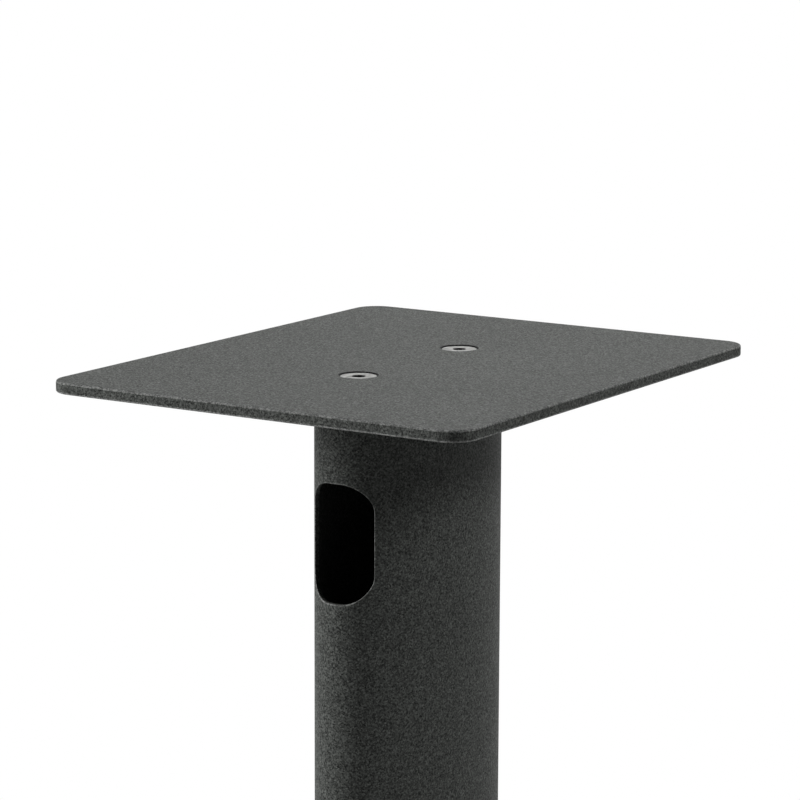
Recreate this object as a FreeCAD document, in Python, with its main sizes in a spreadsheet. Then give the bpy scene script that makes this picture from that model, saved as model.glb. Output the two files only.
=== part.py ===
import FreeCAD
import Part
import math
import os

import Sketcher

# Loudspeaker stand in steel: a flat top plate on an elliptical column, a heavier base
# plate and four levelling feet that screw through the base.  Speaker leads enter the
# column by an upper slot and leave by a lower one.
#
# Frame: millimetres, +Z up, the floor is z = 0 under fully raised feet, and the
# column's axis is x = y = 0.  +Y is towards the listener, and both cable slots are at
# -Y, in the narrow rear end of the ellipse.  Left is -X and right is +X.

NEARLY_ZERO = 0.01
HALF_TURN = 180.0
FULL_TURN = 360.0

# alias: (value in millimetres or degrees, what it measures)
DIMENSIONS = {
    "overall_height": (620, "floor to the top face of the top plate"),
    "top_length": (250, "top plate, front to back"),
    "top_width": (204, "top plate, side to side"),
    "top_thickness": (5, "top plate sheet"),
    "top_corner": (12, "top plate corner radius"),
    "base_length": (300, "base plate, front to back"),
    "base_width": (250, "base plate, side to side"),
    "base_thickness": (8, "base plate sheet"),
    "base_corner": (15, "base plate corner radius"),
    "base_level": (24, "floor to the underside of the base plate"),
    "plate_edge": (0.7, "chamfer along every plate edge"),
    "column_length": (120, "column ellipse, front to back"),
    "column_width": (60, "column ellipse, side to side"),
    "end_radius": (16.7, "column's arcs at its narrow ends"),
    "shoulder_radius": (46.3, "column's arcs between its ends and sides"),
    "side_radius": (111.4, "column's arcs along its flat sides"),
    "column_wall": (2, "column tube wall"),
    "slot_width": (30, "cable slot, side to side"),
    "slot_height": (52, "cable slot, up and down"),
    "slot_corner": (12.5, "cable slot corner radius"),
    "slot_inset": (39, "tube end to the nearer end of its slot"),
    "insert_thickness": (10, "tapped plate welded into each end of the tube"),
    "screw_spacing": (82, "between the two screws at each end of the column"),
    "thread_radius": (3.95, "outside of the male threads"),
    "tapped_radius": (4, "wall of the tapped holes"),
    "clearance_diameter": (9, "screw holes through the plates"),
    "countersink_diameter": (17, "mouth of the screw countersinks"),
    "countersink_angle": (90, "included angle of the countersinks"),
    "head_radius": (8, "countersunk screw head"),
    "head_inset": (0.5, "screw head below the face it is sunk in"),
    "head_key": (5, "hex socket in the screw heads, across flats"),
    "head_key_depth": (3, "hex socket in the screw heads"),
    "top_screw_length": (16, "screw through the top plate"),
    "base_screw_length": (20, "screw through the base plate"),
    "foot_spacing_length": (240, "between foot centres, front to back"),
    "foot_spacing_width": (190, "between foot centres, side to side"),
    "pad_radius": (17, "rubber pad under a foot"),
    "pad_thickness": (3, "rubber pad under a foot"),
    "glide_radius": (20, "nylon glide"),
    "glide_underside": (2, "floor to the glide's rim"),
    "glide_shoulder": (5.5, "floor to the top of the glide's upright rim"),
    "glide_neck_radius": (12, "top of the glide"),
    "glide_top": (12, "floor to the top of the glide"),
    "glide_pad_gap": (0.2, "round the pad in the glide's recess"),
    "seat_level": (6, "floor to the seat inside the glide"),
    "lip_level": (9, "floor to the lip that holds the stud's flange"),
    "flange_radius": (8, "flange of the stud inside the glide"),
    "flange_top": (8.95, "floor to the top of that flange"),
    "neck_radius": (6.2, "stud between its flange and its collar"),
    "swivel_gap": (0.05, "running clearance of the stud in the glide"),
    "collar_level": (12.6, "floor to the hexagonal collar"),
    "collar_height": (4.6, "hexagonal collar"),
    "hex_flats": (13, "lock nut and collar, across flats"),
    "nut_height": (6.5, "lock nut"),
    "stud_top": (31.5, "floor to the top of the stud"),
    "stud_key": (4, "hex socket in the top of the stud, across flats"),
    "stud_key_depth": (5, "hex socket in the top of the stud"),
}

FEET = {
    "front_left": (-1, 1),
    "front_right": (1, 1),
    "rear_left": (-1, -1),
    "rear_right": (1, -1),
}
SCREW_ENDS = {"front": 1, "rear": -1}


def fill_sheet(document):
    """Write every driving dimension into the sheet, one row each."""
    sheet = document.addObject("Spreadsheet::Sheet", "Dimensions")
    for row, (alias, (value, meaning)) in enumerate(DIMENSIONS.items(), start=1):
        sheet.set(f"A{row}", alias)
        sheet.set(f"B{row}", str(value))
        sheet.set(f"C{row}", meaning)
        sheet.setAlias(f"B{row}", alias)
    document.recompute()
    return sheet


def with_sheet(formula):
    """Turn bare aliases in a formula into references to the sheet's cells."""
    words = []
    word = ""
    for letter in formula + " ":
        if letter.isalnum() or letter in "_.":
            word += letter
            continue
        words.append(f"Dimensions.{word}" if word in DIMENSIONS else word)
        words.append(letter)
        word = ""
    return "".join(words).strip()


def number(owner, formula):
    """The present value of a formula."""
    result = owner.evalExpression(with_sheet(formula))
    return float(getattr(result, "Value", result))


def new_body(document, name):
    """An empty body whose label names its file."""
    body = document.addObject("PartDesign::Body", name)
    body.Label = name
    return body


def set_position(body, across="0", along="0", up="0"):
    """Place a body by formulas for X, Y and Z."""
    body.setExpression("Placement.Base.x", with_sheet(across))
    body.setExpression("Placement.Base.y", with_sheet(along))
    body.setExpression("Placement.Base.z", with_sheet(up))


def origin_plane(body, role):
    """One of the body's own origin planes."""
    return next(item for item in body.Origin.OriginFeatures if item.Role == role)


def new_sketch(body, name, role, offset=None):
    """A sketch on an origin plane, moved along the plane's normal by a formula."""
    sketch = body.newObject("Sketcher::SketchObject", f"{body.Name}_{name}")
    sketch.AttachmentSupport = [(origin_plane(body, role), "")]
    sketch.MapMode = "FlatFace"
    if offset:
        sketch.setExpression("AttachmentOffset.Base.z", with_sheet(offset))
    return sketch


def bind(sketch, constraint, formula):
    """Add a dimensional constraint and tie its value to a formula."""
    index = sketch.addConstraint(constraint)
    name = f"size_{index}"
    sketch.renameConstraint(index, name)
    sketch.setExpression(f"Constraints.{name}", with_sheet(formula))


def hold_point(sketch, geometry, end, kind, formula):
    """Hold one coordinate of a point: kind is DistanceX or DistanceY."""
    value = number(sketch, formula)
    if abs(value) < NEARLY_ZERO:
        axis = -2 if kind == "DistanceX" else -1
        sketch.addConstraint(Sketcher.Constraint("PointOnObject", geometry, end, axis))
    elif value > 0:
        bind(sketch, Sketcher.Constraint(kind, -1, 1, geometry, end, value), formula)
    else:
        flipped = f"-({formula})"
        bind(sketch, Sketcher.Constraint(kind, geometry, end, -1, 1, -value), flipped)


def closed_outline(sketch, corners):
    """Straight closed outline through corners, each an (across, up) pair of formulas."""
    spots = [
        FreeCAD.Vector(number(sketch, across), number(sketch, up), 0)
        for across, up in corners
    ]
    first = sketch.GeometryCount
    count = len(spots)
    for index, spot in enumerate(spots):
        line = Part.LineSegment(spot, spots[(index + 1) % count])
        sketch.addGeometry(line, False)
    for index, (across, up) in enumerate(corners):
        line = first + index
        following = first + (index + 1) % count
        sketch.addConstraint(Sketcher.Constraint("Coincident", line, 2, following, 1))
        hold_point(sketch, line, 1, "DistanceX", across)
        hold_point(sketch, line, 1, "DistanceY", up)


def hexagon(sketch, flats):
    """Regular hexagon about the origin, with two sides parallel to the X axis."""
    corner = f"{flats} / sqrt(3)"
    half_corner = f"{flats} / sqrt(12)"
    side = f"{flats} / 2"
    closed_outline(
        sketch,
        [
            (corner, "0"),
            (half_corner, side),
            (f"-{half_corner}", side),
            (f"-{corner}", "0"),
            (f"-{half_corner}", f"-{side}"),
            (half_corner, f"-{side}"),
        ],
    )


def circle(sketch, radius, across="0", up="0"):
    """Circle by formulas for its radius and centre."""
    centre = FreeCAD.Vector(number(sketch, across), number(sketch, up), 0)
    size = number(sketch, radius)
    ring = sketch.addGeometry(Part.Circle(centre, FreeCAD.Vector(0, 0, 1), size), False)
    bind(sketch, Sketcher.Constraint("Radius", ring, size), radius)
    hold_point(sketch, ring, 3, "DistanceX", across)
    hold_point(sketch, ring, 3, "DistanceY", up)


def circles_meet(first, first_reach, second, second_reach):
    """The lower of the two points at given distances from two others."""
    apart = second - first
    along = (first_reach**2 - second_reach**2 + apart.Length**2) / (2 * apart.Length)
    aside = math.sqrt(first_reach**2 - along**2)
    unit = apart.normalize()
    square = FreeCAD.Vector(-unit.y, unit.x, 0)
    if square.y > 0:
        square = -square
    return first + unit * along + square * aside


def tube_section(sketch, inset):
    """Closed run of tangent arcs that follows the column's ellipse, inset by a formula.

    Narrow ends, shoulders and flat sides have a radius each, as the tube is rolled, and
    stay within 0.2 mm of the ellipse.  Every inset shares the same centres.
    """
    end = number(sketch, f"end_radius - {inset}")
    shoulder = number(sketch, f"shoulder_radius - {inset}")
    side = number(sketch, f"side_radius - {inset}")
    end_up = number(sketch, "column_length / 2 - end_radius")
    side_in = number(sketch, "side_radius - column_width / 2")
    end_centre = FreeCAD.Vector(0, end_up, 0)
    side_centre = FreeCAD.Vector(-side_in, 0, 0)
    centre = circles_meet(side_centre, side - shoulder, end_centre, shoulder - end)
    low = math.atan2(centre.y, centre.x + side_in)
    high = math.atan2(end_up - centre.y, -centre.x)
    half_circle = math.pi
    whole_circle = 2 * math.pi
    across, up = centre.x, centre.y
    arcs = [
        ((-side_in, 0), side, -low, low),
        ((across, up), shoulder, low, high),
        ((0, end_up), end, high, half_circle - high),
        ((-across, up), shoulder, half_circle - high, half_circle - low),
        ((side_in, 0), side, half_circle - low, half_circle + low),
        ((-across, -up), shoulder, half_circle + low, half_circle + high),
        ((0, -end_up), end, half_circle + high, whole_circle - high),
        ((across, -up), shoulder, whole_circle - high, whole_circle - low),
    ]
    first = sketch.GeometryCount
    for middle, radius, start, stop in arcs:
        ring = Part.Circle(FreeCAD.Vector(*middle, 0), FreeCAD.Vector(0, 0, 1), radius)
        sketch.addGeometry(Part.ArcOfCircle(ring, start, stop), False)
    for index in range(len(arcs)):
        arc = first + index
        following = first + (index + 1) % len(arcs)
        sketch.addConstraint(Sketcher.Constraint("Tangent", arc, 2, following, 1))
    right, front, left, rear = first, first + 2, first + 4, first + 6
    for arc in (first + 3, first + 5, first + 7):
        sketch.addConstraint(Sketcher.Constraint("Equal", first + 1, arc))
    sketch.addConstraint(Sketcher.Constraint("Equal", right, left))
    sketch.addConstraint(Sketcher.Constraint("Equal", front, rear))
    sizes = [
        (right, side, "side_radius"),
        (first + 1, shoulder, "shoulder_radius"),
        (front, end, "end_radius"),
    ]
    for arc, radius, alias in sizes:
        bind(sketch, Sketcher.Constraint("Radius", arc, radius), f"{alias} - {inset}")
    for arc, sign in ((right, "-"), (left, "")):
        formula = f"{sign}(side_radius - column_width / 2)"
        hold_point(sketch, arc, 3, "DistanceX", formula)
        hold_point(sketch, arc, 3, "DistanceY", "0")
    for arc, sign in ((front, ""), (rear, "-")):
        formula = f"{sign}(column_length / 2 - end_radius)"
        hold_point(sketch, arc, 3, "DistanceX", "0")
        hold_point(sketch, arc, 3, "DistanceY", formula)


def rounded_rectangle(sketch, width, low, high, corner):
    """Rectangle centred across the sketch between two heights, with round corners."""
    half = number(sketch, width) / 2
    bottom = number(sketch, low)
    top = number(sketch, high)
    radius = number(sketch, corner)
    inner = half - radius
    lines = [
        ((-inner, bottom), (inner, bottom)),
        ((half, bottom + radius), (half, top - radius)),
        ((inner, top), (-inner, top)),
        ((-half, top - radius), (-half, bottom + radius)),
    ]
    arcs = [
        ((inner, bottom + radius), 270),
        ((inner, top - radius), 0),
        ((-inner, top - radius), 90),
        ((-inner, bottom + radius), 180),
    ]
    first = sketch.GeometryCount
    for start, end in lines:
        line = Part.LineSegment(FreeCAD.Vector(*start, 0), FreeCAD.Vector(*end, 0))
        sketch.addGeometry(line, False)
    for centre, start in arcs:
        ring = Part.Circle(FreeCAD.Vector(*centre, 0), FreeCAD.Vector(0, 0, 1), radius)
        begin = math.radians(start)
        quarter = Part.ArcOfCircle(ring, begin, begin + math.pi / 2)
        sketch.addGeometry(quarter, False)
    for index in range(4):
        line = first + index
        arc = first + 4 + index
        following = first + (index + 1) % 4
        direction = "Horizontal" if index % 2 == 0 else "Vertical"
        sketch.addConstraint(Sketcher.Constraint(direction, line))
        sketch.addConstraint(Sketcher.Constraint("Tangent", line, 2, arc, 1))
        sketch.addConstraint(Sketcher.Constraint("Tangent", arc, 2, following, 1))
        if index:
            sketch.addConstraint(Sketcher.Constraint("Equal", first + 4, arc))
    bind(sketch, Sketcher.Constraint("Radius", first + 4, radius), corner)
    hold_point(sketch, first, 1, "DistanceY", low)
    hold_point(sketch, first + 1, 1, "DistanceX", f"{width} / 2")
    hold_point(sketch, first + 2, 1, "DistanceY", high)
    hold_point(sketch, first + 3, 1, "DistanceX", f"-{width} / 2")


def pad(body, sketch, height):
    """Raise a sketch along its normal by a formula."""
    feature = body.newObject("PartDesign::Pad", f"{sketch.Name}_pad")
    feature.Profile = sketch
    feature.setExpression("Length", with_sheet(height))
    return feature


def pocket(body, sketch, depth=None, along_normal=False):
    """Cut a sketch into the body: through everything, or to a depth."""
    feature = body.newObject("PartDesign::Pocket", f"{sketch.Name}_pocket")
    feature.Profile = sketch
    feature.Reversed = along_normal
    if depth:
        feature.setExpression("Length", with_sheet(depth))
    else:
        feature.Type = "ThroughAll"
    return feature


def turn(body, sketch):
    """Turn a sketch on the XZ plane a full turn about the vertical axis."""
    feature = body.newObject("PartDesign::Revolution", f"{sketch.Name}_turned")
    feature.Profile = sketch
    feature.ReferenceAxis = (sketch, ["V_Axis"])
    feature.Angle = FULL_TURN
    return feature


def chamfer_edges(body, base, wanted, size):
    """Chamfer the edges of a feature that a test picks out."""
    names = [
        f"Edge{index}"
        for index, edge in enumerate(base.Shape.Edges, start=1)
        if wanted(edge)
    ]
    feature = body.newObject("PartDesign::Chamfer", f"{base.Name}_chamfered")
    feature.Base = (base, names)
    feature.setExpression("Size", with_sheet(size))
    return feature


def is_level(edge):
    """Whether an edge lies in one horizontal plane."""
    return edge.BoundBox.ZLength < NEARLY_ZERO


def drill(body, sketch, diameter, mouth, upwards=False):
    """Drill through the body at each circle of a sketch, with a conical mouth."""
    body.Document.recompute()
    feature = body.newObject("PartDesign::Hole", f"{sketch.Name}_drilled")
    feature.Profile = sketch
    feature.ThreadType = "None"
    feature.DepthType = "ThroughAll"
    feature.setExpression("Diameter", with_sheet(diameter))
    feature.HoleCutType = "Countersink"
    feature.HoleCutCustomValues = True
    feature.setExpression("HoleCutDiameter", with_sheet(mouth))
    feature.setExpression("HoleCutCountersinkAngle", "Dimensions.countersink_angle")
    feature.Reversed = upwards
    return feature


def screw_circles(sketch, diameter):
    """The two screw centres on the column's long axis."""
    for side in SCREW_ENDS.values():
        circle(sketch, f"{diameter} / 2", "0", f"{side} * screw_spacing / 2")


def make_plate(document, name, prefix, level):
    """Sheet steel plate with round corners and softened edges, before drilling."""
    body = new_body(document, name)
    outline = new_sketch(body, "outline", "XY_Plane")
    rounded_rectangle(
        outline,
        f"{prefix}_width",
        f"-{prefix}_length / 2",
        f"{prefix}_length / 2",
        f"{prefix}_corner",
    )
    sheet = pad(body, outline, f"{prefix}_thickness")
    document.recompute()
    chamfer_edges(body, sheet, is_level, "plate_edge")
    set_position(body, up=level)
    return body


def make_top_plate(document):
    """Top plate, with two countersinks that open upwards."""
    body = make_plate(document, "top_plate", "top", "overall_height - top_thickness")
    centres = new_sketch(body, "screws", "XY_Plane", "top_thickness")
    screw_circles(centres, "clearance_diameter")
    drill(body, centres, "clearance_diameter", "countersink_diameter")


def make_base_plate(document):
    """Base plate: two countersinks that open downwards and four tapped foot holes."""
    body = make_plate(document, "base_plate", "base", "base_level")
    centres = new_sketch(body, "screws", "XY_Plane")
    screw_circles(centres, "clearance_diameter")
    drill(body, centres, "clearance_diameter", "countersink_diameter", upwards=True)
    tapped = new_sketch(body, "feet", "XY_Plane", "base_thickness")
    for side, end in FEET.values():
        across = f"{side} * foot_spacing_width / 2"
        along = f"{end} * foot_spacing_length / 2"
        circle(tapped, "tapped_radius", across, along)
    pocket(body, tapped)


def make_column(document):
    """Elliptical tube with an upper and a lower cable slot through its rear end."""
    body = new_body(document, "column_tube")
    section = new_sketch(body, "section", "XY_Plane")
    tube_section(section, "0")
    tube_section(section, "column_wall")
    height = "overall_height - top_thickness - base_level - base_thickness"
    pad(body, section, height)
    slots = {
        "lower_slot": ("slot_inset", "slot_inset + slot_height"),
        "upper_slot": (
            f"{height} - slot_inset - slot_height",
            f"{height} - slot_inset",
        ),
    }
    for name, (low, high) in slots.items():
        outline = new_sketch(body, name, "XZ_Plane")
        rounded_rectangle(outline, "slot_width", low, high, "slot_corner")
        document.recompute()
        pocket(body, outline, along_normal=True)
    set_position(body, up="base_level + base_thickness")


def make_insert(document, name, level):
    """Elliptical steel plate welded into the tube, tapped for two screws."""
    body = new_body(document, name)
    outline = new_sketch(body, "outline", "XY_Plane")
    tube_section(outline, "column_wall")
    screw_circles(outline, "tapped_radius * 2")
    pad(body, outline, "insert_thickness")
    set_position(body, up=level)


def make_screw(document, name, length, along, level, pointing_up):
    """Countersunk screw with a hex socket; its own origin is the top of its head."""
    body = new_body(document, name)
    profile = new_sketch(body, "profile", "XZ_Plane")
    closed_outline(
        profile,
        [
            ("0", "0"),
            ("head_radius", "0"),
            ("thread_radius", "thread_radius - head_radius"),
            ("thread_radius", f"-{length}"),
            ("0", f"-{length}"),
        ],
    )
    turn(body, profile)
    key = new_sketch(body, "key", "XY_Plane")
    hexagon(key, "head_key")
    pocket(body, key, "head_key_depth")
    if pointing_up:
        flipped = FreeCAD.Rotation(FreeCAD.Vector(1, 0, 0), HALF_TURN)
        body.Placement = FreeCAD.Placement(FreeCAD.Vector(0, 0, 0), flipped)
    set_position(body, along=along, up=level)


def foot_position(body, corner):
    """Stand a foot piece on the floor at its corner of the base plate."""
    side, end = FEET[corner]
    across = f"{side} * foot_spacing_width / 2"
    along = f"{end} * foot_spacing_length / 2"
    set_position(body, across, along)


def make_foot_pad(document, corner):
    """Rubber pad, glued into the recess under the glide."""
    body = new_body(document, f"foot_pad_{corner}")
    outline = new_sketch(body, "outline", "XY_Plane")
    circle(outline, "pad_radius")
    pad(body, outline, "pad_thickness")
    foot_position(body, corner)


def make_foot_glide(document, corner):
    """Nylon glide: a recess below for the pad, and a lipped pocket for the stud."""
    body = new_body(document, f"foot_glide_{corner}")
    profile = new_sketch(body, "profile", "XZ_Plane")
    closed_outline(
        profile,
        [
            ("0", "pad_thickness"),
            ("pad_radius + glide_pad_gap", "pad_thickness"),
            ("pad_radius + glide_pad_gap", "glide_underside"),
            ("glide_radius", "glide_underside"),
            ("glide_radius", "glide_shoulder"),
            ("glide_neck_radius", "glide_top"),
            ("neck_radius + swivel_gap", "glide_top"),
            ("neck_radius + swivel_gap", "lip_level"),
            ("flange_radius + swivel_gap", "lip_level"),
            ("flange_radius + swivel_gap", "seat_level"),
            ("0", "seat_level"),
        ],
    )
    turn(body, profile)
    foot_position(body, corner)


def make_foot_stud(document, corner):
    """Threaded stud: captive flange, hexagonal collar and a hex socket on top."""
    body = new_body(document, f"foot_stud_{corner}")
    profile = new_sketch(body, "profile", "XZ_Plane")
    closed_outline(
        profile,
        [
            ("0", "seat_level"),
            ("flange_radius", "seat_level"),
            ("flange_radius", "flange_top"),
            ("neck_radius", "flange_top"),
            ("neck_radius", "collar_level"),
            ("thread_radius", "collar_level"),
            ("thread_radius", "stud_top"),
            ("0", "stud_top"),
        ],
    )
    turn(body, profile)
    collar = new_sketch(body, "collar", "XY_Plane", "collar_level")
    hexagon(collar, "hex_flats")
    pad(body, collar, "collar_height")
    key = new_sketch(body, "key", "XY_Plane", "stud_top")
    hexagon(key, "stud_key")
    pocket(body, key, "stud_key_depth")
    foot_position(body, corner)


def make_lock_nut(document, corner):
    """Hexagonal nut that locks the stud from under the base plate."""
    body = new_body(document, f"lock_nut_{corner}")
    outline = new_sketch(body, "outline", "XY_Plane", "base_level - nut_height")
    hexagon(outline, "hex_flats")
    circle(outline, "tapped_radius")
    pad(body, outline, "nut_height")
    foot_position(body, corner)


def make_screws(document):
    """Two countersunk screws at each end of the column."""
    for end, side in SCREW_ENDS.items():
        along = f"{side} * screw_spacing / 2"
        make_screw(
            document,
            f"top_screw_{end}",
            "top_screw_length",
            along,
            "overall_height - head_inset",
            pointing_up=False,
        )
        make_screw(
            document,
            f"base_screw_{end}",
            "base_screw_length",
            along,
            "base_level + head_inset",
            pointing_up=True,
        )


def check_document(document):
    """Stop if a feature failed, a cut removed nothing or a body isn't a valid solid."""
    for item in document.Objects:
        faults = {"Invalid", "Error"} & set(item.State)
        if faults:
            raise RuntimeError(f"{item.Name}: {faults}")
    cutters = ("PartDesign::Pocket", "PartDesign::Hole")
    for item in document.Objects:
        if item.TypeId in cutters:
            removed = item.BaseFeature.Shape.Volume - item.Shape.Volume
            if removed < NEARLY_ZERO:
                raise RuntimeError(f"{item.Name} removes nothing")
    for body in document.findObjects("PartDesign::Body"):
        shape = body.Shape
        if shape.isNull() or not shape.isValid() or len(shape.Solids) != 1:
            raise RuntimeError(f"{body.Label} isn't one valid solid")


def write_parts(document):
    """Write each body to its own file."""
    os.makedirs("parts", exist_ok=True)
    for body in document.findObjects("PartDesign::Body"):
        body.Shape.exportStep(f"parts/{body.Label}.step")
        print(f"{body.Label}: {body.Shape.Volume / 1000:.2f} cm3")


def main():
    """Build the stand and write its pieces."""
    document = FreeCAD.newDocument("SpeakerStand")
    fill_sheet(document)
    make_top_plate(document)
    make_column(document)
    top_level = "overall_height - top_thickness - insert_thickness"
    make_insert(document, "top_insert", top_level)
    base_top = "base_level + base_thickness"
    make_insert(document, "base_insert", base_top)
    make_base_plate(document)
    make_screws(document)
    for corner in FEET:
        make_foot_pad(document, corner)
        make_foot_glide(document, corner)
        make_foot_stud(document, corner)
        make_lock_nut(document, corner)
    document.recompute()
    check_document(document)
    write_parts(document)


main()
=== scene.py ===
import logging
import math
from dataclasses import dataclass
from enum import Enum
from typing import Any, Iterable, Sequence

import bmesh
import bpy
from bpy.types import Material, Mesh, Node, NodeSocket, NodeTree, Object
from mathutils import Matrix, Vector


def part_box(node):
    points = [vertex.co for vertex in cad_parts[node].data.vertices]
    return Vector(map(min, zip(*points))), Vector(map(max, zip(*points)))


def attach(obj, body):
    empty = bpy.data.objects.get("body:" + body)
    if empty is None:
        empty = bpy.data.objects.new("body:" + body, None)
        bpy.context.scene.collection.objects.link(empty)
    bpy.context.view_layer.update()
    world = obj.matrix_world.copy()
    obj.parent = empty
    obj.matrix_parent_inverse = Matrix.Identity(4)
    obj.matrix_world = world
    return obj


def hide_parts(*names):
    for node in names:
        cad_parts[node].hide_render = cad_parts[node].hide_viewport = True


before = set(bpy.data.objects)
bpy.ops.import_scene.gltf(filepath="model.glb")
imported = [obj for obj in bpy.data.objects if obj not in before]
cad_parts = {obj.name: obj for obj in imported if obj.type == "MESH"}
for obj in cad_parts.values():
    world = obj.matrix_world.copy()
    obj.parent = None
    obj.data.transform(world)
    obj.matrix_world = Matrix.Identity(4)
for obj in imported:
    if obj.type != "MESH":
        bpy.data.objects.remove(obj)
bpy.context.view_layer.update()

# A loudspeaker stand in powder-coated steel.  Lengths are metres in the frame of the
# solids: +Z up, the floor at z = 0, +Y towards the listener, +X to the right, and the
# column's axis at x = y = 0.

LOG = logging.getLogger("speaker_stand")
MM = 0.001
FULL_TURN = 2 * math.pi
SLIVER = 0.01 * MM
# Face attribute: 1 marks rims painted paler (partly wear, partly a painted sheen); -1 marks hole
# slopes given painted shade.
EDGE = "wear_sheen_and_hole_shade"
EXACT_CUT = {"operation": "DIFFERENCE", "solver": "EXACT"}
MID_NOISE = (0.3, 0.7)
SCREW_REACH = 41 * MM
FOOT_REACH = (95 * MM, 120 * MM)

Colour = tuple[float, float, float]
Point = tuple[float, float]
Size = tuple[float, float, float]


class Slot(Enum):
    """Material slots of the stand."""

    COAT = "powder_coat"
    STEEL = "bare_steel"
    ZINC = "zinc_steel"
    NYLON = "glide_nylon"
    RUBBER = "pad_rubber"


class Side(Enum):
    """Which way a screw's head faces."""

    UP = 1
    DOWN = -1


# Node graphs.


class Graph:
    """A node tree that is written one call per node."""

    def __init__(self, tree: NodeTree) -> None:
        """Keeps the node tree that the nodes go into."""
        self.tree = tree

    def add(self, kind: str, settings: dict[str, Any] | None = None,
            inputs: dict[str | int, Any] | None = None) -> Node:
        """Adds one node.

        Args:
            kind: The node's type name.
            settings: Properties to set on it.
            inputs: Values, or sockets to link, by input name or index.

        Returns:
            The new node.
        """
        node = self.tree.nodes.new(kind)
        for name, value in (settings or {}).items():
            setattr(node, name, value)
        for key, value in (inputs or {}).items():
            if isinstance(value, NodeSocket):
                self.tree.links.new(value, node.inputs[key])
            else:
                node.inputs[key].default_value = value
        return node

    def math(self, operation: str, *values: Any) -> NodeSocket:
        """Adds a Math node, its values in input order, and gives its result."""
        node = self.add("ShaderNodeMath", {"operation": operation}, dict(enumerate(values)))
        return node.outputs[0]

    def vector(self, operation: str, *values: Any, output: str = "Vector") -> NodeSocket:
        """Adds a Vector Math node, its values in input order, and gives one output."""
        node = self.add("ShaderNodeVectorMath", {"operation": operation}, dict(enumerate(values)))
        return node.outputs[output]


class Surface(Graph):
    """A principled material whose patterns read Object coordinates, in metres."""

    def __init__(self, name: str) -> None:
        """Starts a material.

        Args:
            name: The material's name.
        """
        self.material = bpy.data.materials.new(name)
        self.material.use_nodes = True
        self.material.node_tree.nodes.clear()
        super().__init__(self.material.node_tree)
        self.place = self.add("ShaderNodeTexCoord").outputs["Object"]
        self.shader = self.add("ShaderNodeBsdfPrincipled")
        self.output = self.add("ShaderNodeOutputMaterial", {}, {
            "Surface": self.shader.outputs["BSDF"]})

    def fix(self, **values: float) -> None:
        """Sets plain values on the shader, with _ for a space in each name."""
        for name, value in values.items():
            self.shader.inputs[name.replace("_", " ")].default_value = value

    def drive(self, name: str, socket: NodeSocket) -> None:
        """Links a pattern to one of the shader's inputs."""
        self.tree.links.new(socket, self.shader.inputs[name])

    def noise(self, size: float, detail: float = 2.0,
              roughness: float = 0.5) -> NodeSocket:
        """Adds a noise pattern.

        Args:
            size: The size of its features, in metres.
            detail: How many finer layers it has.
            roughness: How strong the finer layers are.

        Returns:
            The pattern, from 0 to 1.
        """
        node = self.add("ShaderNodeTexNoise", {}, {
            "Vector": self.place, "Scale": 1 / size, "Detail": detail, "Roughness": roughness})
        return node.outputs["Fac"]

    def cells(self, size: float) -> NodeSocket:
        """Adds a cell pattern with soft borders.

        Args:
            size: The size of a cell, in metres.

        Returns:
            The distance from a cell's centre.
        """
        node = self.add("ShaderNodeTexVoronoi", {"feature": "SMOOTH_F1"}, {
            "Vector": self.place, "Scale": 1 / size})
        return node.outputs["Distance"]

    def flecks(self, size: float) -> NodeSocket:
        """Adds cells that each have a value of their own.

        Args:
            size: The size of a cell, in metres.

        Returns:
            The cell's value, from 0 to 1.
        """
        node = self.add("ShaderNodeTexVoronoi", {"feature": "F1"}, {
            "Vector": self.place, "Scale": 1 / size})
        parts = self.add("ShaderNodeSeparateColor", {}, {"Color": node.outputs["Color"]})
        return parts.outputs["Red"]

    def spread(self, value: NodeSocket, source: Point,
               target: Point = (0.0, 1.0)) -> NodeSocket:
        """Maps a value from one range to another and holds it beyond the ends.

        Args:
            value: The value.
            source: The range that it has.
            target: The range that it gets.

        Returns:
            The mapped value.
        """
        node = self.add("ShaderNodeMapRange", {"clamp": True}, {
            "Value": value, "From Min": source[0], "From Max": source[1],
            "To Min": target[0], "To Max": target[1]})
        return node.outputs["Result"]

    def tint(self, mask: NodeSocket, low: Any, high: Any) -> NodeSocket:
        """Mixes two colours.

        Args:
            mask: 0 for the first, 1 for the second.
            low: A colour, or a colour's socket.
            high: A colour, or a colour's socket.

        Returns:
            The mixed colour.
        """
        both = [value if isinstance(value, NodeSocket) else (*value, 1.0)
                for value in (low, high)]
        node = self.add("ShaderNodeMix", {"data_type": "RGBA"}, {
            0: mask, 6: both[0], 7: both[1]})
        return node.outputs[2]

    def emboss(self, *layers: tuple[NodeSocket, float]) -> None:
        """Gives the surface relief.

        Args:
            layers: Pairs of a height pattern and its height, in metres, coarse first.
        """
        normal = None
        for height, depth in layers:
            inputs = {"Height": height, "Distance": depth, "Strength": 1.0}
            if normal:
                inputs["Normal"] = normal
            normal = self.add("ShaderNodeBump", {}, inputs).outputs["Normal"]
        self.drive("Normal", normal)


# Finishes.


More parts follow.
